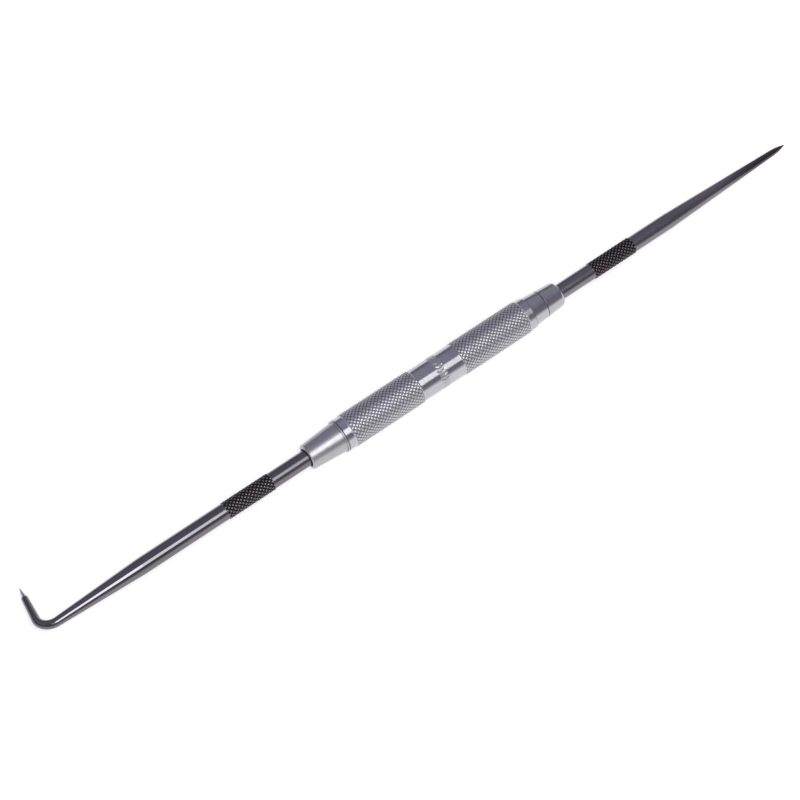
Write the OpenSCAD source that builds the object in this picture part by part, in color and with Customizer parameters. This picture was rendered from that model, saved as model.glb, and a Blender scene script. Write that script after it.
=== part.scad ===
// Double-ended scriber: a knurled steel handle with a bent point screwed into one end
// and a straight point screwed into the other. Sizes are in millimetres.
// The tool's axis is the X axis, with the middle of the handle at the origin. The straight
// point lies towards +X. The bent point lies towards -X, and its hook reaches over +Y and
// down until its tip is level with the lowest line of the knurling.

/* [Handle] */
// Length of the smooth waist between the two knurled grips
waist_l = 13.5; // [8:0.5:30]
// Diameter of the waist and of the plain lands at the barrel's ends
waist_d = 9.2; // [8.8:0.1:12]
// Length of each knurled grip
knurl_l = 22.1; // [12:0.1:40]
// Height by which the knurling stands above the waist
knurl_h = 0.16; // [0.05:0.01:0.4]
// Length of the plain land between a grip and its nose
land_l = 2.15; // [1:0.05:8]
// Chamfer on the barrel's end edges
barrel_bevel = 0.15; // [0.05:0.01:0.4]
// Diameter of the bore that runs through the barrel
barrel_bore_d = 6.4; // [6:0.1:7.2]

/* [Noses] */
// Length of the tapered nose at each end, from the barrel to its end face
nose_l = 10.6; // [8:0.1:20]
// Diameter of a nose where it meets the barrel
nose_base_d = 8.55; // [8:0.05:8.75]
// Diameter that the taper comes down to at the end face
nose_end_d = 7.05; // [6.9:0.05:8]
// Bore of the noses, wide enough for the lock washer
nose_bore_d = 5.3; // [5:0.05:5.4]
// Length of the rim at the bent-end nose's base, as wide as the barrel's land
nose_rim_l = 0.55; // [0.45:0.05:2]
// Chamfer on the open end of the bent-end nose
nose_bevel = 0.25; // [0.05:0.05:0.5]
// Length of each nose's spigot inside the barrel
spigot_l = 6; // [4:0.5:12]

/* [End cap] */
// Length of the straight-end cap that shows in front of its collar
cap_l = 6.1; // [3:0.1:6.5]
// Radius of the cap's rounded front edge
cap_round = 1.15; // [0.3:0.05:1.15]
// Diameter of the cap's spigot, which fills the socket in the collar
cap_spigot_d = 6.2; // [5.8:0.05:6.4]
// Length of the cap's spigot
cap_spigot_l = 3.6; // [2:0.1:4]
// Chamfer on each side of the line between collar and cap
joint_bevel = 0.12; // [0.05:0.01:0.2]
// Radial clearance of the cap's bore round the straight point's shank
guide_gap = 0.05; // [0.02:0.01:0.1]

/* [Screw fittings] */
// Length of the tapped bush inside each end of the barrel
bush_l = 10; // [7.5:0.5:14]
// Outer diameter of the thread on each point's tang
thread_d = 3.5; // [3:0.1:3.7]
// Radial clearance between a tang and its bush
thread_gap = 0.04; // [0.01:0.01:0.08]
// Length of tang that is screwed into its bush
engage_l = 5.1; // [4.3:0.1:7]
// Chamfer on the inner end of a tang
tang_bevel = 0.3; // [0.1:0.05:0.6]
// Thickness of the spring lock washer under each point's shoulder
washer_t = 0.9; // [0.5:0.05:1.2]
// Radial clearance of a lock washer inside its nose and round its tang
washer_gap = 0.09; // [0.03:0.01:0.1]
// Width of the split in a lock washer
washer_split = 0.6; // [0.3:0.1:1]
// Running gap on each face of a lock washer
seat_gap = 0.05; // [0.02:0.01:0.1]

/* [Points] */
// Diameter of the round stock of both points
shank_d = 4.48; // [4.2:0.02:4.7]
// Diameter over the finger knurling on each point
band_d = 4.8; // [4.7:0.05:5.2]
// Length of the finger knurling
band_l = 14.3; // [8:0.1:20]
// Distance from a nose's end face to the finger knurling
band_start = 11.3; // [5:0.1:16]
// Chamfer at both ends of the finger knurling
band_bevel = 0.12; // [0.05:0.01:0.2]
// Diameter of the flat left on each scribing tip
tip_d = 0.2; // [0.1:0.05:0.4]

/* [Straight point] */
// Distance from the nose's end face to the start of the straight point's taper
straight_plain_l = 38.4; // [37:0.1:60]
// Length of the straight point's taper
straight_taper_l = 40; // [20:0.5:60]
// Diameter at the small end of that taper
straight_small_d = 1.7; // [1:0.05:3]
// Length of the ground tip of the straight point
straight_tip_l = 3.2; // [1.5:0.1:8]

/* [Bent point] */
// Distance from the nose's end face to the start of the bent point's taper
bent_plain_l = 51; // [37:0.1:70]
// Length of the bent point's taper, up to the bend
bent_taper_l = 24.7; // [15:0.1:50]
// Diameter of the wire round the bend
bend_d = 2.4; // [1.8:0.05:3]
// Radius of the bend, to the middle of the wire
bend_r = 3.9; // [2.5:0.1:8]
// Angle that the bend turns through, in degrees
bend_turn = 97.5; // [80:0.5:110]
// Length of the leg beyond the bend, up to its ground tip
leg_l = 8.0; // [5:0.1:16]
// Diameter of the leg where the ground tip begins
leg_small_d = 1.8; // [1:0.05:2.2]
// Length of the ground tip of the bent point
leg_tip_l = 3.76; // [1.5:0.1:6]

/* [Hidden] */
round_fn = 96;
wire_fn = 48;
// room left past a surface that a cut goes through
cut_over = 1;
// step in diameter between the taper, the bend and the leg, and how far each runs into the next
wire_step = 0.02;
lap_turn = 3;
lap_l = 0.2;

nickel = [0.75, 0.74, 0.78];
bright_nickel = [0.82, 0.81, 0.85];
dark_steel = [0.30, 0.28, 0.33];
brass = [0.76, 0.63, 0.34];
spring_steel = [0.45, 0.45, 0.48];

// radii
waist_r = waist_d / 2;
knurl_r = waist_r + knurl_h;
bore_r = barrel_bore_d / 2;
nose_bore_r = nose_bore_d / 2;
shank_r = shank_d / 2;
tang_r = thread_d / 2;
tip_r = tip_d / 2;

// places along the axis, measured outward from the middle of the handle
barrel_x = waist_l / 2 + knurl_l + land_l;
spigot_x = barrel_x - spigot_l;
face_x = barrel_x + nose_l;
cap_x = face_x - cap_l;
shoulder_x = spigot_x + washer_t + 2 * seat_gap;
tang_x = spigot_x - engage_l;
bend_x = face_x + bent_plain_l + bent_taper_l;

// distance of the bent point's tip from the axis, and the turn about the axis at which
// that tip is level with the lowest line of the knurling
leg_full_l = leg_l + leg_tip_l;
hook_reach = bend_r * (1 - cos(bend_turn)) + leg_full_l * sin(bend_turn);
hook_drop = asin((knurl_r - tip_r) / hook_reach);

// radius of a nose's taper at a place along the axis
function nose_r(x) = (nose_base_d + (nose_end_d - nose_base_d) * (x - barrel_x) / nose_l) / 2;

// an outline of [place along the axis, radius] points turned about the X axis
module turned(outline) {
    rotate([0, 90, 0])
        rotate_extrude($fn = round_fn)
            polygon([for (p = outline) [p[1], p[0]]]);
}

// the same fitting at the bent end, which faces the other way
module at_bent_end() {
    mirror([1, 0, 0])
        children();
}

// the barrel's outside from the middle to one end; side is 1 or -1
function barrel_half(side) = [
    [side * waist_l / 2, waist_r],
    [side * (waist_l / 2 + knurl_h), knurl_r],
    [side * (waist_l / 2 + knurl_l - knurl_h), knurl_r],
    [side * (waist_l / 2 + knurl_l), waist_r],
    [side * (barrel_x - barrel_bevel), waist_r],
    [side * barrel_x, waist_r - barrel_bevel],
    [side * barrel_x, bore_r]
];

function reversed(list) = [for (i = [len(list) - 1 : -1 : 0]) list[i]];

module barrel() {
    color(nickel)
        turned(concat(barrel_half(1), reversed(barrel_half(-1))));
}

// one tapered ferrule with a rim, pressed into the barrel by its spigot
module bent_end_nose() {
    rim_x = barrel_x + nose_rim_l;
    color(bright_nickel)
        at_bent_end()
            turned([
                [spigot_x, nose_bore_r],
                [spigot_x, bore_r],
                [barrel_x, bore_r],
                [barrel_x, waist_r - barrel_bevel],
                [barrel_x + barrel_bevel, waist_r],
                [rim_x, waist_r],
                [rim_x, nose_r(rim_x)],
                [face_x - nose_bevel, nose_r(face_x - nose_bevel)],
                [face_x, nose_r(face_x) - nose_bevel],
                [face_x, nose_bore_r]
            ]);
}

// the first part of the other nose, with a socket in front for the cap
module straight_end_collar() {
    color(bright_nickel)
        turned([
            [spigot_x, nose_bore_r],
            [spigot_x, bore_r],
            [barrel_x, bore_r],
            [barrel_x, nose_r(barrel_x)],
            [cap_x - joint_bevel, nose_r(cap_x - joint_bevel)],
            [cap_x, nose_r(cap_x) - joint_bevel],
            [cap_x, cap_spigot_d / 2],
            [cap_x - cap_spigot_l, cap_spigot_d / 2],
            [cap_x - cap_spigot_l, nose_bore_r]
        ]);
}

// the cap that closes the collar round the straight point's shank
module straight_end_cap() {
    cap_bore_r = shank_r + guide_gap;
    round_x = face_x - cap_round;
    round_r = nose_r(round_x) - cap_round;
    color(bright_nickel)
        turned(concat(
            [
                [cap_x - cap_spigot_l, cap_bore_r],
                [cap_x - cap_spigot_l, cap_spigot_d / 2],
                [cap_x, cap_spigot_d / 2],
                [cap_x, nose_r(cap_x) - joint_bevel],
                [cap_x + joint_bevel, nose_r(cap_x + joint_bevel)]
            ],
            [for (a = [0 : 15 : 90]) [round_x + cap_round * sin(a), round_r + cap_round * cos(a)]],
            [[face_x, cap_bore_r]]
        ));
}

// a tapped bush, drawn as a tube with the thread's clearance round the tang
module bush() {
    turned([
        [spigot_x - bush_l, tang_r + thread_gap],
        [spigot_x - bush_l, bore_r],
        [spigot_x, bore_r],
        [spigot_x, tang_r + thread_gap]
    ]);
}

module bent_end_bush() {
    color(brass)
        at_bent_end()
            bush();
}

module straight_end_bush() {
    color(brass)
        bush();
}

// a flat split ring between the bush and the point's shoulder
module lock_washer() {
    back_x = spigot_x + seat_gap;
    outer_r = nose_bore_r - washer_gap;
    inner_r = tang_r + washer_gap;
    difference() {
        turned([
            [back_x, inner_r],
            [back_x, outer_r],
            [back_x + washer_t, outer_r],
            [back_x + washer_t, inner_r]
        ]);
        translate([back_x - cut_over, -washer_split / 2, 0])
            cube([washer_t + 2 * cut_over, washer_split, outer_r + cut_over]);
    }
}

module bent_end_lock_washer() {
    color(spring_steel)
        at_bent_end()
            lock_washer();
}

module straight_end_lock_washer() {
    color(spring_steel)
        lock_washer();
}

// the tang, shoulder, shank and finger knurling that both points share
function point_root() = [
    [tang_x, 0],
    [tang_x, tang_r - tang_bevel],
    [tang_x + tang_bevel, tang_r],
    [shoulder_x, tang_r],
    [shoulder_x, shank_r],
    [face_x + band_start, shank_r],
    [face_x + band_start + band_bevel, band_d / 2],
    [face_x + band_start + band_l - band_bevel, band_d / 2],
    [face_x + band_start + band_l, shank_r]
];

module straight_point() {
    taper_x = face_x + straight_plain_l;
    ground_x = taper_x + straight_taper_l;
    color(dark_steel)
        turned(concat(point_root(), [
            [taper_x, shank_r],
            [ground_x, straight_small_d / 2],
            [ground_x + straight_tip_l, tip_r],
            [ground_x + straight_tip_l, 0]
        ]));
}

// the bend and the leg beyond it, in the plane that drops from +Y
module hook() {
    translate([-bend_x, 0, 0])
        rotate([-hook_drop, 0, 0])
            translate([0, bend_r, 0])
                rotate([180, 0, -90]) {
                    rotate([0, 0, -lap_turn])
                        rotate_extrude(angle = bend_turn + lap_turn, $fn = round_fn)
                            translate([bend_r, 0])
                                circle(d = bend_d, $fn = wire_fn);
                    rotate([0, 0, bend_turn])
                        translate([bend_r, 0, 0])
                            rotate([-90, 0, 0])
                                hook_leg();
                }
}

// the leg, standing on its own axis, with its root a little way inside the end of the bend
module hook_leg() {
    root_r = (bend_d - wire_step) / 2 - lap_l * tan(lap_turn);
    rotate_extrude($fn = wire_fn)
        polygon([
            [0, -lap_l],
            [root_r, -lap_l],
            [(bend_d - wire_step) / 2, 0],
            [leg_small_d / 2, leg_l],
            [tip_r, leg_full_l],
            [0, leg_full_l]
        ]);
}

module bent_point() {
    color(dark_steel)
        union() {
            at_bent_end()
                turned(concat(point_root(), [
                    [face_x + bent_plain_l, shank_r],
                    [bend_x, (bend_d + wire_step) / 2],
                    [bend_x, 0]
                ]));
            hook();
        }
}

barrel();
bent_end_nose();
straight_end_collar();
straight_end_cap();
bent_end_bush();
straight_end_bush();
bent_end_lock_washer();
straight_end_lock_washer();
bent_point();
straight_point();
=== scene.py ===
import math

import bmesh
import bpy
import numpy as np
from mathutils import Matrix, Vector


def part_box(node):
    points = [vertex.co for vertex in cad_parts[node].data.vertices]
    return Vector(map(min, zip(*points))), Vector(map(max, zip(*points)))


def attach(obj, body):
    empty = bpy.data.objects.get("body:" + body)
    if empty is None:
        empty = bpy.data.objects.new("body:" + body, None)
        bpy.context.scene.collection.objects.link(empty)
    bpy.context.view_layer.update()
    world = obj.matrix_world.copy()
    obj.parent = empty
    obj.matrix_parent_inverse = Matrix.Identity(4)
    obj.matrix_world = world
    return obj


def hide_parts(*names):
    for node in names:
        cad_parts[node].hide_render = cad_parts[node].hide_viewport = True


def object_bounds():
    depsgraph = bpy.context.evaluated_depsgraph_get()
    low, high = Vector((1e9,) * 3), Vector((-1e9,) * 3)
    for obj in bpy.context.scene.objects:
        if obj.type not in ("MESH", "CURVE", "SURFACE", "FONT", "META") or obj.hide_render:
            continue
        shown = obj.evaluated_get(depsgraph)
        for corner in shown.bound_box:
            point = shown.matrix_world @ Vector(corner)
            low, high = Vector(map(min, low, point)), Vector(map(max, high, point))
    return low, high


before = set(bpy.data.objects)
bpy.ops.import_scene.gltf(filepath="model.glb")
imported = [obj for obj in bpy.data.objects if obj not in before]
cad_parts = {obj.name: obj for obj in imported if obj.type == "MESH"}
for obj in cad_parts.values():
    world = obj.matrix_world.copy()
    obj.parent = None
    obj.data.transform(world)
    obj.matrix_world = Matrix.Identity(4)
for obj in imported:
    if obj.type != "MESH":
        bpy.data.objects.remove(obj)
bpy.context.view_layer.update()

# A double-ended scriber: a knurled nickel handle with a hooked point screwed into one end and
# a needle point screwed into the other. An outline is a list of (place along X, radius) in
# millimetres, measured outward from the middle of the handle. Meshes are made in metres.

MM = 0.001


def far_x(node):
    """How far a node of the straight end reaches along X, in millimetres."""
    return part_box(node)[1].x / MM


def near_x(node):
    """Where a node of the straight end begins along X, in millimetres."""
    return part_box(node)[0].x / MM


# places along the axis
BARREL_X = far_x("barrel")
FACE_X = far_x("straight_end_cap")
CAP_X = far_x("straight_end_collar")
SPIGOT_X = near_x("straight_end_collar")
CAP_SPIGOT_X = near_x("straight_end_cap")
BUSH_X = near_x("straight_end_bush")
TANG_X = near_x("straight_point")
NEEDLE_X = far_x("straight_point")
WASHER_GAP = 0.05
SHOULDER_X = far_x("straight_end_lock_washer") + WASHER_GAP

# the handle
KNURL_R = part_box("barrel")[1].z / MM
WAIST_R = 4.6
WAIST_HALF = 6.75
GRIP_L = 22.1
GRIP_END = WAIST_HALF + GRIP_L
BORE_R = 3.2
NOSE_BASE_R, NOSE_END_R, NOSE_BORE_R, NOSE_RIM = 4.275, 3.525, 2.65, 0.55
CAP_SPIGOT_R, CAP_BORE_R, CAP_ROUND = 3.1, 2.29, 1.15

# the ring of chevrons round the waist. A full cut would be CHEVRON_DEPTH deep, and theirs are
# CHEVRON_SHARE of it, so that the grime and painted shade stay light in them.
RING_START, RING_MIDDLE, RING_END = -0.75, 0.45, 1.6
CHEVRONS, CHEVRON_LEAN, CHEVRON_WIDTH = 24, 3, 0.22
CHEVRON_DEPTH, CHEVRON_SHARE = 0.6, 0.2

# the points
TANG_R, TANG_BEVEL, BUSH_BORE_R = 1.75, 0.3, 1.79
THREAD_PITCH, THREAD_DEPTH, THREAD_SLOPE, THREAD_CREST = 0.6, 0.33, 2.5, 0.12
SHANK_R, SHANK_BARE = 2.24, 11.3
BAND_R, BAND_L = 2.4, 14.3
BAND_START = FACE_X + SHANK_BARE
BAND_END = BAND_START + BAND_L
NEEDLE_TAPER_X, OGIVE_L, OGIVE_R = 80, 3.2, 0.85
HOOK_TAPER_X, BEND_X, BEND_R = 92.6, 117.3, 3.9
BEND_TURN = math.radians(97.5)
LEG_L, LEG_GROUND_L = 8, 3.76
BEND_ROOT_R, LEG_ROOT_R, LEG_SMALL_R = 1.25, 1.12, 0.9
TIP_R, TIP_CENTRE_R, TANG_CENTRE_R = 0.1, 0.01, 0.02
HOOK_REACH = BEND_R * (1 - math.cos(BEND_TURN)) + (LEG_L + LEG_GROUND_L) * math.sin(BEND_TURN)
HOOK_DROP = math.asin((KNURL_R - TIP_R) / HOOK_REACH)

# knurling: diamonds round a piece, their length along X, how deep their grooves are, how much
# of a diamond is groove, and how far the flats are crowned
GRIP_TEETH, BAND_TEETH, KNURL_PITCH = 25, 13, 1.25
GRIP_DEPTH, BAND_DEPTH = 0.13, 0.2
GRIP_GROOVE, BAND_GROOVE = 0.36, 0.5
CROWN = 0.15

# how finely the meshes are divided
STEPS_PER_DIAMOND, GRIP_STEPS_ALONG, STEPS_PER_THREAD = 9, 8, 8
STEPS_ROUND_NOSE, STEPS_ROUND_BUSH = 160, 64
BEND_STEP = 0.2

# a rounded edge: the most of a side it takes, where the ring that holds it is, and its points
EDGE_ROOM, EDGE_HOLD, EDGE_POINTS = 0.3, 1.5, 5


# ---------------------------------------------------------------- outlines

def rounded(corners, radius, closed=False):
    """The outline through these corners, each rounded, with a ring close by to hold the edge."""
    corners = [np.array(c, float) for c in corners]
    if closed:
        corners = [corners[-1]] + corners + [corners[0]]
    points = [] if closed else [corners[0]]
    for before, corner, after in zip(corners, corners[1:], corners[2:]):
        into, out = corner - before, after - corner
        room = EDGE_ROOM * min(np.linalg.norm(into), np.linalg.norm(out))
        into, out = into / np.linalg.norm(into), out / np.linalg.norm(out)
        cut = min(radius, room)
        points.append(corner - EDGE_HOLD * cut * into)
        for s in np.linspace(0, 1, EDGE_POINTS):
            points.append(corner + cut * (s * s * out - (1 - s) ** 2 * into))
        points.append(corner + EDGE_HOLD * cut * out)
    if not closed:
        points.append(corners[-1])
    return points


def divided(outline, start, end, step):
    """The outline with rings at most one step apart between two places along the axis."""
    points = [outline[0]]
    for a, b in zip(outline, outline[1:]):
        inside = min(a[0], b[0]) >= start and max(a[0], b[0]) <= end
        parts = max(1, math.ceil(abs(b[0] - a[0]) / step)) if inside else 1
        points += [a + (b - a) * (k + 1) / parts for k in range(parts)]
    return points


def mirrored(outline):
    """The same outline at the other end of the handle."""
    return [np.array([-x, r]) for x, r in reversed(outline)]


# ---------------------------------------------------------------- relief on a turned surface

def ramp_in(x, start, end, ease):
    """1 between two places along the axis and 0 outside them, easing in and out between them."""
    return np.clip(np.minimum(x - start, end - x) / ease, 0, 1)


def knurl(x, angle, teeth, groove):
    """How deep a diamond knurl is cut, from 0 on the crowned flats to 1 in the grooves."""
    turn = angle * teeth / (2 * math.pi)
    slants = turn + x / KNURL_PITCH, turn - x / KNURL_PITCH
    near = np.minimum(*[2 * np.abs(slant - np.round(slant)) for slant in slants])
    return (1 - CROWN) * np.clip(1 - near / groove, 0, 1) + CROWN * (1 - near) ** 2


def thread(x, angle, hand):
    """How deep a screw thread is cut, from 0 on its crest to 1 at its root."""
    phase = x / THREAD_PITCH - hand * angle / (2 * math.pi)
    return np.clip(THREAD_SLOPE * np.abs(phase - np.round(phase)) - THREAD_CREST, 0, 1)


# ---------------------------------------------------------------- meshes

def turned(outline, around, relief):
    """Rings of points for an outline turned about X, and how deep each point is cut."""
    x, r = np.array(outline).T[:, :, None]
    angle = np.linspace(0, 2 * math.pi, around, endpoint=False)[None, :]
    depth, cut = relief(x, r, angle)
    radius = r - depth * cut
    ring = np.broadcast_arrays(x, radius * np.cos(angle), radius * np.sin(angle))
    rings = np.stack(ring, -1)
    return rings, np.broadcast_to(cut, rings.shape[:2])


def plain(x, r, angle):
    """The relief of a smooth piece: none."""
    return 0, 0 * x


def skin(name, rings, cut, closed):
    """A smooth mesh over the rings, which join end to end if closed and are capped if not."""
    count, around = rings.shape[:2]
    index = np.arange(count * around).reshape(count, around)
    here, beyond = (index, np.roll(index, -1, 0)) if closed else (index[:-1], index[1:])
    quads = np.stack([here, beyond, np.roll(beyond, -1, 1), np.roll(here, -1, 1)], -1)
    faces = quads.reshape(-1, 4).tolist()
    if not closed:
        faces += [index[0].tolist(), index[-1].tolist()]
    mesh = bpy.data.meshes.new(name)
    mesh.from_pydata((rings.reshape(-1, 3) * MM).tolist(), [], faces)
    shape = bmesh.new()
    shape.from_mesh(mesh)
    bmesh.ops.recalc_face_normals(shape, faces=shape.faces)
    shape.to_mesh(mesh)
    shape.free()
    mesh.shade_smooth()
    grooves = mesh.attributes.new("groove", "FLOAT", "POINT")
    grooves.data.foreach_set("value", cut.reshape(-1).astype(np.float32))
    piece = bpy.data.objects.new(name, mesh)
    bpy.context.scene.collection.objects.link(piece)
    return piece


def place(piece, body, node, slot, *materials):
    """Puts a finished piece on its body, in the place of its CAD node."""
    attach(piece, body)
    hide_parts(node)
    for material in materials:
        piece.data.materials.append(material)


# ---------------------------------------------------------------- the handle

def barrel_half():
    """The barrel's outside from the waist to one end, and its bore."""
    bevel = 0.1
    rise = KNURL_R - WAIST_R
    return [
        (WAIST_HALF, WAIST_R),
        (WAIST_HALF + rise, KNURL_R),
        (GRIP_END - rise, KNURL_R),
        (GRIP_END, WAIST_R),
        (BARREL_X - bevel, WAIST_R),
        (BARREL_X, WAIST_R - bevel),
        (BARREL_X, BORE_R),
    ]


def barrel_relief(x, r, angle):
    """Two knurled grips, and a rolled ring of small chevrons round the waist."""
    reach = np.abs(x)
    diamonds = knurl(x, angle, GRIP_TEETH, GRIP_GROOVE)
    grip = diamonds * ramp_in(reach, WAIST_HALF, GRIP_END, ease=0.3)
    slant = CHEVRONS * angle / (2 * math.pi) + np.abs(x - RING_MIDDLE) / CHEVRON_LEAN
    stroke = np.clip(1 - np.abs(slant - np.round(slant)) / CHEVRON_WIDTH, 0, 1)
    chevrons = stroke * ramp_in(x, RING_START, RING_END, ease=0.2)
    depth = np.where(reach > WAIST_HALF, GRIP_DEPTH, CHEVRON_DEPTH)
    outside = r > (BORE_R + WAIST_R) / 2
    return depth, outside * (grip + CHEVRON_SHARE * chevrons)


def make_barrel(material):
    """The knurled tube, its two halves alike."""
    half = rounded(barrel_half(), radius=0.05)
    step = KNURL_PITCH / GRIP_STEPS_ALONG
    outline = divided(mirrored(half) + half, -GRIP_END, GRIP_END, step)
    rings, cut = turned(outline, GRIP_TEETH * STEPS_PER_DIAMOND, barrel_relief)
    piece = skin("knurled_barrel", rings, cut, closed=True)
    place(piece, "handle", "barrel", "satin_nickel", material)


def nose_r(x):
    """Radius of a nose's taper at a place along the axis."""
    return NOSE_BASE_R + (NOSE_END_R - NOSE_BASE_R) * (x - BARREL_X) / (FACE_X - BARREL_X)


def make_nose_piece(name, node, outline, material):
    """A smooth turned piece of a nose, fixed to the handle."""
    rings, cut = turned(outline, STEPS_ROUND_NOSE, plain)
    place(skin(name, rings, cut, closed=True), "handle", node, "bright_nickel", material)


def make_open_nose(material):
    """The bent end's ferrule, with a narrow rim at its base and an open bore."""
    edge, bevel = 0.25, 0.1
    rim_x = BARREL_X + NOSE_RIM
    corners = [
        (SPIGOT_X, NOSE_BORE_R),
        (SPIGOT_X, BORE_R),
        (BARREL_X, BORE_R),
        (BARREL_X, WAIST_R - bevel),
        (BARREL_X + bevel, WAIST_R),
        (rim_x, WAIST_R),
        (rim_x, nose_r(rim_x)),
        (FACE_X - edge, nose_r(FACE_X - edge)),
        (FACE_X, nose_r(FACE_X) - edge),
        (FACE_X, NOSE_BORE_R),
    ]
    outline = mirrored(rounded(corners, radius=0.04, closed=True))
    make_nose_piece("open_nose", "bent_end_nose", outline, material)


def make_collar(material):
    """The straight end's nose, up to the seam of its cap."""
    bevel = 0.12
    corners = [
        (SPIGOT_X, NOSE_BORE_R),
        (SPIGOT_X, BORE_R),
        (BARREL_X, BORE_R),
        (BARREL_X, NOSE_BASE_R),
        (CAP_X - bevel, nose_r(CAP_X - bevel)),
        (CAP_X, nose_r(CAP_X) - bevel),
        (CAP_X, CAP_SPIGOT_R),
        (CAP_SPIGOT_X, CAP_SPIGOT_R),
        (CAP_SPIGOT_X, NOSE_BORE_R),
    ]
    outline = rounded(corners, radius=0.05, closed=True)
    make_nose_piece("nose_collar", "straight_end_collar", outline, material)


def make_cap(material):
    """The rounded cap that closes on the straight point's shank."""
    bevel = 0.12
    round_x = FACE_X - CAP_ROUND
    round_r = nose_r(round_x) - CAP_ROUND
    corners = [
        (CAP_SPIGOT_X, CAP_BORE_R),
        (CAP_SPIGOT_X, CAP_SPIGOT_R),
        (CAP_X, CAP_SPIGOT_R),
        (CAP_X, nose_r(CAP_X) - bevel),
        (CAP_X + bevel, nose_r(CAP_X + bevel)),
    ]
    for a in map(math.radians, range(0, 91, 6)):
        corners.append((round_x + CAP_ROUND * math.sin(a), round_r + CAP_ROUND * math.cos(a)))
    corners.append((FACE_X, CAP_BORE_R))
    outline = rounded(corners, radius=0.05, closed=True)
    make_nose_piece("nose_cap", "straight_end_cap", outline, material)


def make_bush(name, node, side, material):
    """A tapped bush inside the barrel. side is 1 at the straight end and -1 at the bent one."""
    corners = [
        (BUSH_X, BUSH_BORE_R),
        (BUSH_X, BORE_R),
        (SPIGOT_X, BORE_R),
        (SPIGOT_X, BUSH_BORE_R),
    ]
    outline = rounded(corners, radius=0.1, closed=True)
    step = THREAD_PITCH / STEPS_PER_THREAD
    outline = divided(outline + outline[:1], BUSH_X, SPIGOT_X, step)[:-1]
    outline = outline if side > 0 else mirrored(outline)

    def tapped(x, r, angle):
        in_bore = r < BUSH_BORE_R + 0.05
        depth = THREAD_DEPTH * in_bore * ramp_in(np.abs(x), BUSH_X, SPIGOT_X, ease=0.4)
        return depth, thread(side * x, angle, side)

    rings, cut = turned(outline, STEPS_ROUND_BUSH, tapped)
    piece = skin(name, rings, 0 * cut, closed=True)
    place(piece, "handle", node, "brass", material)


# ---------------------------------------------------------------- the points

def root_outline():
    """The threaded tang, the shoulder, the shank and the finger knurling of both points."""
    bevel = 0.12
    return [
        (TANG_X, TANG_CENTRE_R),
        (TANG_X, TANG_R - TANG_BEVEL),
        (TANG_X + TANG_BEVEL, TANG_R),
        (SHOULDER_X, TANG_R),
        (SHOULDER_X, SHANK_R),
        (BAND_START, SHANK_R),
        (BAND_START + bevel, BAND_R),
        (BAND_END - bevel, BAND_R),
        (BAND_END, SHANK_R),
    ]


def point_rings(outline, side):
    """Rings for a point, with its thread and knurling cut. side is 1 or -1, as for a bush."""
    def point_relief(x, r, angle):
        on_band = ramp_in(x, BAND_START, BAND_END, ease=0.25)
        on_tang = ramp_in(x, TANG_X, SHOULDER_X - THREAD_PITCH, ease=0.3)
        diamonds = on_band * knurl(x, angle, BAND_TEETH, BAND_GROOVE)
        depth = np.where(x > SHOULDER_X, BAND_DEPTH, THREAD_DEPTH)
        return depth, diamonds + on_tang * thread(x, angle, side)

    outline = divided(outline, TANG_X, SHOULDER_X, THREAD_PITCH / STEPS_PER_THREAD)
    outline = divided(outline, BAND_START, BAND_END, KNURL_PITCH / STEPS_PER_DIAMOND)
    return turned(outline, BAND_TEETH * STEPS_PER_DIAMOND, point_relief)


def make_needle(steel):
    """The straight point: a long taper that ends in a short ogive."""
    ogive_x = NEEDLE_X - OGIVE_L
    corners = root_outline() + [
        (NEEDLE_TAPER_X, SHANK_R),
        (ogive_x - 1, OGIVE_R + 0.03),
        (ogive_x + 0.4, OGIVE_R - 0.08),
        (ogive_x + 1.7, OGIVE_R - 0.33),
        (NEEDLE_X, TIP_R),
        (NEEDLE_X, TIP_CENTRE_R),
    ]
    rings, cut = point_rings(rounded(corners, radius=0.08), side=1)
    piece = skin("needle_point", rings, cut, closed=False)
    place(piece, "straight_scriber_point", "straight_point", "dark_tool_steel", steel)


def bend_round(rings):
    """Bends straight rings towards +Y past the start of the bend, and on into the leg."""
    x, y, z = np.moveaxis(rings, -1, 0)
    turn = np.clip((x - BEND_X) / BEND_R, 0, BEND_TURN)
    past = x - BEND_X - BEND_R * turn
    bent_x = BEND_X + (BEND_R - y) * np.sin(turn) + past * np.cos(turn)
    bent_y = BEND_R - (BEND_R - y) * np.cos(turn) + past * np.sin(turn)
    return np.stack([bent_x, bent_y, z], -1)


def drop_and_flip(rings):
    """Turns the hook about X until its tip is level with the knurling, and mirrors it to -X."""
    x, y, z = np.moveaxis(rings, -1, 0)
    down, level = math.sin(HOOK_DROP), math.cos(HOOK_DROP)
    return np.stack([-x, y * level + z * down, z * level - y * down], -1)


def make_hook(steel, ground):
    """The bent point, with the second material on the ground end of its leg."""
    leg_x = BEND_X + BEND_R * BEND_TURN
    ground_x = leg_x + LEG_L
    tip_x = ground_x + LEG_GROUND_L
    corners = root_outline() + [
        (HOOK_TAPER_X, SHANK_R),
        (BEND_X, BEND_ROOT_R),
        (leg_x, LEG_ROOT_R),
        (ground_x, LEG_SMALL_R),
        (tip_x, TIP_R),
        (tip_x, TIP_CENTRE_R),
    ]
    outline = divided(rounded(corners, radius=0.08), BEND_X - 1, leg_x + 1, BEND_STEP)
    rings, cut = point_rings(outline, side=-1)
    piece = skin("hooked_point", drop_and_flip(bend_round(rings)), cut, closed=False)
    place(piece, "bent_scriber_point", "bent_point", "dark_tool_steel", steel, ground)
    tip_y = max(v.co.y for v in piece.data.vertices)
    ground_y = tip_y - LEG_GROUND_L * MM * math.sin(BEND_TURN) * math.cos(HOOK_DROP)
    for face in piece.data.polygons:
        face.material_index = int(face.center.y > ground_y)


# ---------------------------------------------------------------- materials

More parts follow.
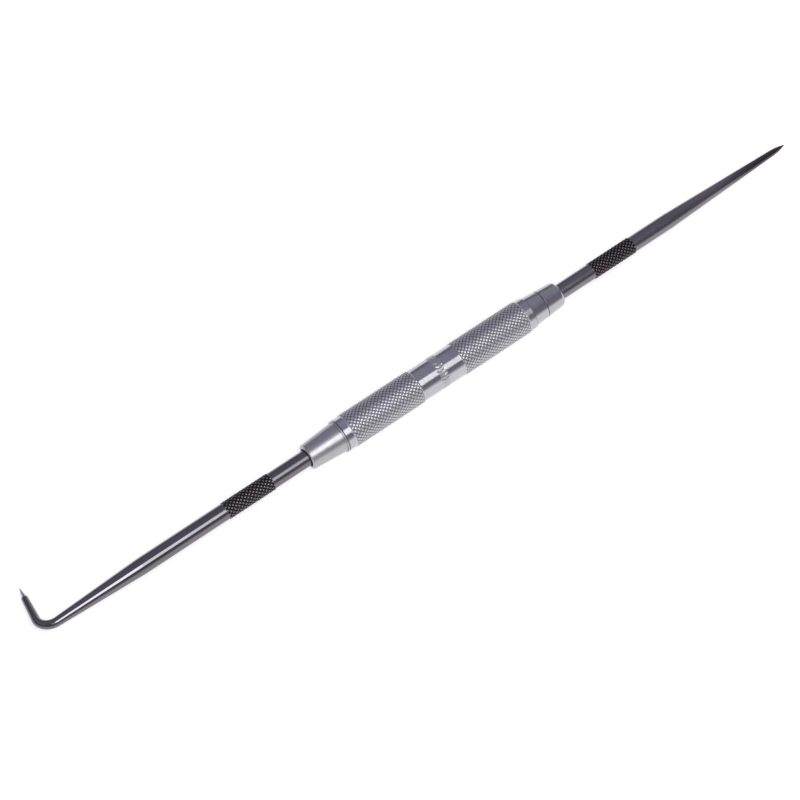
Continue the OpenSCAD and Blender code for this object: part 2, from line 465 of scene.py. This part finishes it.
class Nodes:
    """Short calls for building a node tree."""

    def __init__(self, tree):
        self.tree = tree

    def node(self, kind, inputs=(), **settings):
        """A new node with these settings and inputs, which are values or other sockets."""
        made = self.tree.nodes.new("ShaderNode" + kind)
        for name, value in settings.items():
            setattr(made, name, value)
        for name, value in dict(inputs).items():
            self.give(made.inputs[name], value)
        return made

    def give(self, socket, value):
        if isinstance(value, bpy.types.NodeSocket):
            self.tree.links.new(value, socket)
        else:
            socket.default_value = value

    def mix(self, share, first, second):
        """The second colour mixed into the first. A Mix node's colours are sockets 6, 7 and 2."""
        made = self.node("Mix", {"Factor": share}, data_type="RGBA")
        self.give(made.inputs[6], first)
        self.give(made.inputs[7], second)
        return made.outputs[2]

    def maths(self, operation, first, second):
        made = self.node("Math", operation=operation)
        self.give(made.inputs[0], first)
        self.give(made.inputs[1], second)
        return made.outputs[0]


class Shader(Nodes):
    """A material built round one Principled shader. Places along the axis are in millimetres."""

    def __init__(self, name, metallic):
        self.material = bpy.data.materials.new(name)
        self.material.use_nodes = True
        super().__init__(self.material.node_tree)
        self.bsdf = self.tree.nodes["Principled BSDF"]
        self.bsdf.inputs["Metallic"].default_value = metallic

    def noise(self, stretch, detail=3):
        """Noise in the object's own space. stretch is how many features there are per metre."""
        where = self.node("TexCoord").outputs["Object"]
        scaled = self.node("Mapping", {"Vector": where, "Scale": stretch}).outputs["Vector"]
        inputs = {"Vector": scaled, "Scale": 1, "Detail": detail, "Roughness": 0.55}
        return self.node("TexNoise", inputs).outputs["Fac"]

    def remap(self, value, low, high, to_low=0, to_high=1):
        """A smooth step from one value to another while the input goes from low to high."""
        inputs = {
            "Value": value,
            "From Min": low,
            "From Max": high,
            "To Min": to_low,
            "To Max": to_high,
        }
        return self.node("MapRange", inputs, interpolation_type="SMOOTHSTEP").outputs["Result"]

    def along(self):
        """The place along the axis, from the middle of the handle."""
        where = self.node("TexCoord").outputs["Object"]
        return self.node("SeparateXYZ", {"Vector": where}).outputs["X"]

    def fade(self, place, start, end, to_start=0, to_end=1):
        """A smooth step between two places along the axis."""
        return self.remap(place, start * MM, end * MM, to_start, to_end)

    def between(self, place, start, end, ease):
        """1 between two places along the axis, easing in after the first and out after the last."""
        into = self.fade(place, start, start + ease)
        out = self.fade(place, end, end + ease, 1, 0)
        return self.maths("MULTIPLY", into, out)

    def distance(self, place, x):
        """How far a place is from x mm along the axis."""
        return self.maths("ABSOLUTE", self.maths("SUBTRACT", place, x * MM), 0)

    def groove(self):
        """How deep the surface is cut here, from 0 to 1."""
        return self.node("Attribute", attribute_name="groove").outputs["Fac"]

    def bump(self, height, distance):
        """Raises the surface by the height, up to a distance in millimetres."""
        inputs = {"Height": height, "Distance": distance * MM}
        self.give(self.bsdf.inputs["Normal"], self.node("Bump", inputs).outputs["Normal"])


def grey(level, tint=0.0):
    """A grey with a little violet in it."""
    return (level, level * (1 - tint * 0.4), level * (1 + tint), 1)


def nickel(name, level, rough):
    """Nickel plate: soft clouding, fine turning marks, grime with painted shade in the knurling,
    and painted shade at the seams.
    """
    s = Shader(name, metallic=1)
    cloud = s.noise((260, 260, 260))
    marks = s.noise((5200, 90, 90), detail=4)
    along = s.along()
    out = s.maths("ABSOLUTE", along, 0)
    grip = s.between(out, WAIST_HALF, GRIP_END, ease=0.3)
    ring = s.fade(s.distance(along, RING_MIDDLE), 1.1, 1.3, 1, 0)
    # painted shade: a dark line at each seam of the nose pieces, standing in for the shade in the
    # gap
    barrel_seam_painted_shade = s.fade(s.distance(out, BARREL_X), 0.08, 0.22, 0.7, 0)
    cap_seam_painted_shade = s.fade(s.distance(along, CAP_X), 0.08, 0.22, 0.7, 0)
    seam = s.maths("MAXIMUM", barrel_seam_painted_shade, cap_seam_painted_shade)
    # grime and painted shade: the knurl's grooves and the seams are darkened as though shade falls
    # in them
    grime_and_painted_shade = s.maths("MAXIMUM", s.remap(s.groove(), 0.05, 0.75, 0, 0.85), seam)
    colour = s.mix(s.remap(cloud, 0.3, 0.7), grey(level * 0.94, 0.03), grey(level, 0.01))
    colour = s.mix(grip, colour, grey(level * 1.16, 0.02))
    s.give(s.bsdf.inputs["Base Color"], s.mix(grime_and_painted_shade, colour, grey(0.09, 0.12)))
    roughness = s.remap(marks, 0.3, 0.7, *rough)
    for share, more in ((grip, 0.22), (ring, 0.2), (grime_and_painted_shade, 0.2)):
        roughness = s.maths("ADD", roughness, s.maths("MULTIPLY", share, more))
    s.give(s.bsdf.inputs["Roughness"], roughness)
    s.bump(marks, 0.004)
    return s.material


def dark_steel(name):
    """Hardened steel with a violet-black oxide, smooth at the hook, heated at the needle's tip,
    painted darker towards the hook as shade, and with grime and painted shade in its knurling and
    threads.
    """
    s = Shader(name, metallic=1)
    patches = s.noise((90, 260, 260), detail=4)
    marks = s.noise((3800, 140, 140), detail=4)
    along = s.along()
    polish = s.fade(along, -50, -95)
    needle_side = s.fade(along, -10, 10)
    blotch = s.remap(patches, 0.35, 0.65)
    light = s.mix(blotch, grey(0.215, 0.02), (0.25, 0.222, 0.24, 1))
    # painted shade: a darker copy of the oxide for the hook's end
    oxide_painted_darker = s.mix(blotch, grey(0.175, 0.02), (0.202, 0.183, 0.2, 1))
    oxide = s.mix(s.fade(along, -40, 20), oxide_painted_darker, light)  # the hook's end is painted darker, as shade for the dimmer reflection it shows; the needle's end is the lighter one
    heated = (0.1, 0.084, 0.09, 1)
    oxide = s.mix(s.fade(along, 96, 114), oxide, heated)
    edge = 0.2
    out = s.maths("ABSOLUTE", along, 0)
    band = s.between(out, BAND_START - edge, BAND_END, ease=edge)
    worn = s.mix(needle_side, (0.22, 0.2, 0.208, 1), (0.2, 0.178, 0.19, 1))
    oxide = s.mix(band, oxide, worn)
    # grime and painted shade: the knurl's and the thread's grooves are darkened as though shade
    # falls in them
    cut = s.remap(s.groove(), 0, s.fade(along, -10, 10, 0.4, 0.3))
    s.give(s.bsdf.inputs["Base Color"], s.mix(cut, oxide, (0.026, 0.018, 0.02, 1)))
    smooth = s.maths("MULTIPLY", polish, 0.11)
    rough = s.maths("SUBTRACT", s.remap(marks, 0.3, 0.7, 0.18, 0.26), smooth)
    s.give(s.bsdf.inputs["Roughness"], s.maths("ADD", rough, s.maths("MULTIPLY", cut, 0.3)))
    s.bump(marks, 0.004)
    return s.material


def ground_steel(name):
    """Bright steel left by the grinding wheel on the hook's tip."""
    s = Shader(name, metallic=1)
    scratches = s.noise((5000, 5000, 700), detail=3)
    colour = s.mix(s.remap(scratches, 0.35, 0.65), grey(0.42, 0.05), grey(0.72, 0.02))
    s.give(s.bsdf.inputs["Base Color"], colour)
    s.give(s.bsdf.inputs["Roughness"], s.remap(scratches, 0.3, 0.7, 0.1, 0.24))
    s.bump(scratches, 0.006)
    return s.material


def brass(name):
    """Turned brass, for the bushes inside the handle."""
    s = Shader(name, metallic=1)
    marks = s.noise((4200, 120, 120), detail=3)
    colour = s.mix(s.remap(marks, 0.3, 0.7), (0.52, 0.36, 0.13, 1), (0.68, 0.5, 0.22, 1))
    s.give(s.bsdf.inputs["Base Color"], colour)
    s.give(s.bsdf.inputs["Roughness"], s.remap(marks, 0.3, 0.7, 0.25, 0.4))
    s.bump(marks, 0.005)
    return s.material


def spring_steel(name):
    """Blued spring steel, for the lock washers."""
    s = Shader(name, metallic=1)
    oxide = s.noise((900, 900, 900), detail=4)
    colour = s.mix(s.remap(oxide, 0.35, 0.65), (0.16, 0.17, 0.2, 1), (0.3, 0.31, 0.34, 1))
    s.give(s.bsdf.inputs["Base Color"], colour)
    s.give(s.bsdf.inputs["Roughness"], s.remap(oxide, 0.3, 0.7, 0.3, 0.45))
    s.bump(oxide, 0.005)
    return s.material


# ---------------------------------------------------------------- the scene round the object

def make_floor():
    """A pale floor that keeps a soft shadow, and shows white to the camera and in the metal."""
    half = 30  # metres, so that its edge is far out of sight from above
    mesh = bpy.data.meshes.new("floor")
    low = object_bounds()[0].z
    corners = [(-half, -half, low), (half, -half, low), (half, half, low), (-half, half, low)]
    mesh.from_pydata(corners, [], [(0, 1, 2, 3)])
    floor = bpy.data.objects.new("floor", mesh)
    bpy.context.scene.collection.objects.link(floor)
    s = Shader("floor_paper", metallic=0)
    path = s.node("LightPath").outputs
    in_metal = s.maths("MAXIMUM", path["Is Glossy Ray"], path["Is Transmission Ray"])
    seen = s.maths("MAXIMUM", path["Is Camera Ray"], in_metal)
    s.bsdf.inputs["Base Color"].default_value = (0.8, 0.8, 0.8, 1)
    s.bsdf.inputs["Roughness"].default_value = 0.9
    s.bsdf.inputs["Emission Color"].default_value = (1, 1, 1, 1)
    s.give(s.bsdf.inputs["Emission Strength"], s.maths("MULTIPLY", seen, 0.6))
    mesh.materials.append(s.material)


def slope(n, value, low, high):
    """A straight ramp from 0 to 1 while the value goes from low to high."""
    inputs = {"Value": value, "From Min": low, "From Max": high}
    return n.node("MapRange", inputs).outputs["Result"]


def wall(n, height, *stops):
    """A colour that changes with height, given as (height, colour) stops from the floor up."""
    ramp = n.node("ValToRGB", {"Fac": height})
    elements = ramp.color_ramp.elements
    ramp.color_ramp.interpolation = "EASE"
    while len(elements) < len(stops):
        elements.new(0.5)
    for element, (at, colour) in zip(elements, stops):
        element.position = at
        element.color = (*colour, 1)
    return ramp.outputs["Color"]


def make_world():
    """A dim violet-grey room, pale low down in front, with a lighter corner behind on the right."""
    world = bpy.data.worlds.new("studio")
    bpy.context.scene.world = world
    world.use_nodes = True
    n = Nodes(world.node_tree)
    way = n.node("TexCoord").outputs["Generated"]
    right, behind, height = n.node("SeparateXYZ", {"Vector": way}).outputs
    ceiling = (0.34, 0.33, 0.43)
    front = wall(
        n, height,
        (0.05, (0.85, 0.85, 0.85)), (0.32, (0.26, 0.25, 0.29)),
        (0.75, (0.22, 0.21, 0.26)), (1, ceiling),
    )
    back = wall(
        n, height,
        (0, (0.18, 0.18, 0.2)), (0.35, (0.24, 0.24, 0.29)),
        (0.6, (0.34, 0.34, 0.45)), (1, ceiling),
    )
    room = n.mix(slope(n, behind, -0.35, 0.15), front, back)
    corner = n.maths("MULTIPLY", slope(n, right, 0.5, 0.64), slope(n, behind, 0.45, 0.6))
    lit = n.mix(corner, room, (0.72, 0.72, 0.76, 1))
    n.give(n.tree.nodes["Background"].inputs["Color"], lit)


def add_softbox(name, across, distance, size, power):
    """A soft area light above the object and a little to the front, facing it."""
    tilt = math.radians(25)
    data = bpy.data.lights.new(name, "AREA")
    data.shape = "RECTANGLE"
    data.size, data.size_y = size
    data.energy = power
    lamp = bpy.data.objects.new(name, data)
    bpy.context.scene.collection.objects.link(lamp)
    away = Vector((0, -math.sin(tilt), math.cos(tilt)))
    lamp.location = away * distance + Vector((across, 0, 0))
    lamp.rotation_mode = "QUATERNION"
    lamp.rotation_quaternion = away.to_track_quat("Z", "Y")
    lamp.visible_camera = False


def add_camera():
    """The camera looks down from the front left, at a point close to the tool's axis."""
    azimuth, elevation = math.radians(-36.91), math.radians(60.9)
    distance, aim = 0.5373, Vector((-0.0111, 0.00073, -0.0034))
    data = bpy.data.cameras.new("camera")
    data.sensor_width = 36
    data.lens = 91.8
    camera = bpy.data.objects.new("camera", data)
    bpy.context.scene.collection.objects.link(camera)
    level = math.cos(elevation)
    back = Vector((math.sin(azimuth) * level, -math.cos(azimuth) * level, math.sin(elevation)))
    camera.location = aim + back * distance
    camera.rotation_mode = "QUATERNION"
    camera.rotation_quaternion = back.to_track_quat("Z", "Y")
    bpy.context.scene.camera = camera


def make_pieces():
    """Every piece over its CAD node. The lock washers keep their CAD shape."""
    satin = nickel("satin_nickel_plate", level=0.51, rough=(0.12, 0.2))
    bright = nickel("bright_nickel_plate", level=0.49, rough=(0.13, 0.2))
    soft = nickel("soft_nickel_plate", level=0.47, rough=(0.34, 0.42))
    steel = dark_steel("blackened_steel")
    ground = ground_steel("ground_steel")
    yellow = brass("turned_brass")
    spring = spring_steel("spring_steel_oxide")
    make_barrel(satin)
    make_open_nose(soft)
    make_collar(bright)
    make_cap(bright)
    make_bush("tapped_bush_bent_end", "bent_end_bush", -1, yellow)
    make_bush("tapped_bush_straight_end", "straight_end_bush", 1, yellow)
    make_needle(steel)
    make_hook(steel, ground)
    for node in ("bent_end_lock_washer", "straight_end_lock_washer"):
        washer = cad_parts[node]
        washer.data.materials.clear()
        washer.data.materials.append(spring)


make_pieces()
make_floor()
make_world()
add_softbox("key", across=0.08, distance=0.9, size=(0.56, 0.57), power=1.4)
add_softbox("key_left", across=-0.11, distance=0.88, size=(0.26, 0.48), power=1.2)
add_softbox("key_far_left", across=-0.36, distance=0.88, size=(0.24, 0.48), power=0.3)
add_softbox("key_middle", across=0.08, distance=0.88, size=(0.12, 0.48), power=0.29)
add_camera()
bpy.context.scene.view_settings.view_transform = "Standard"
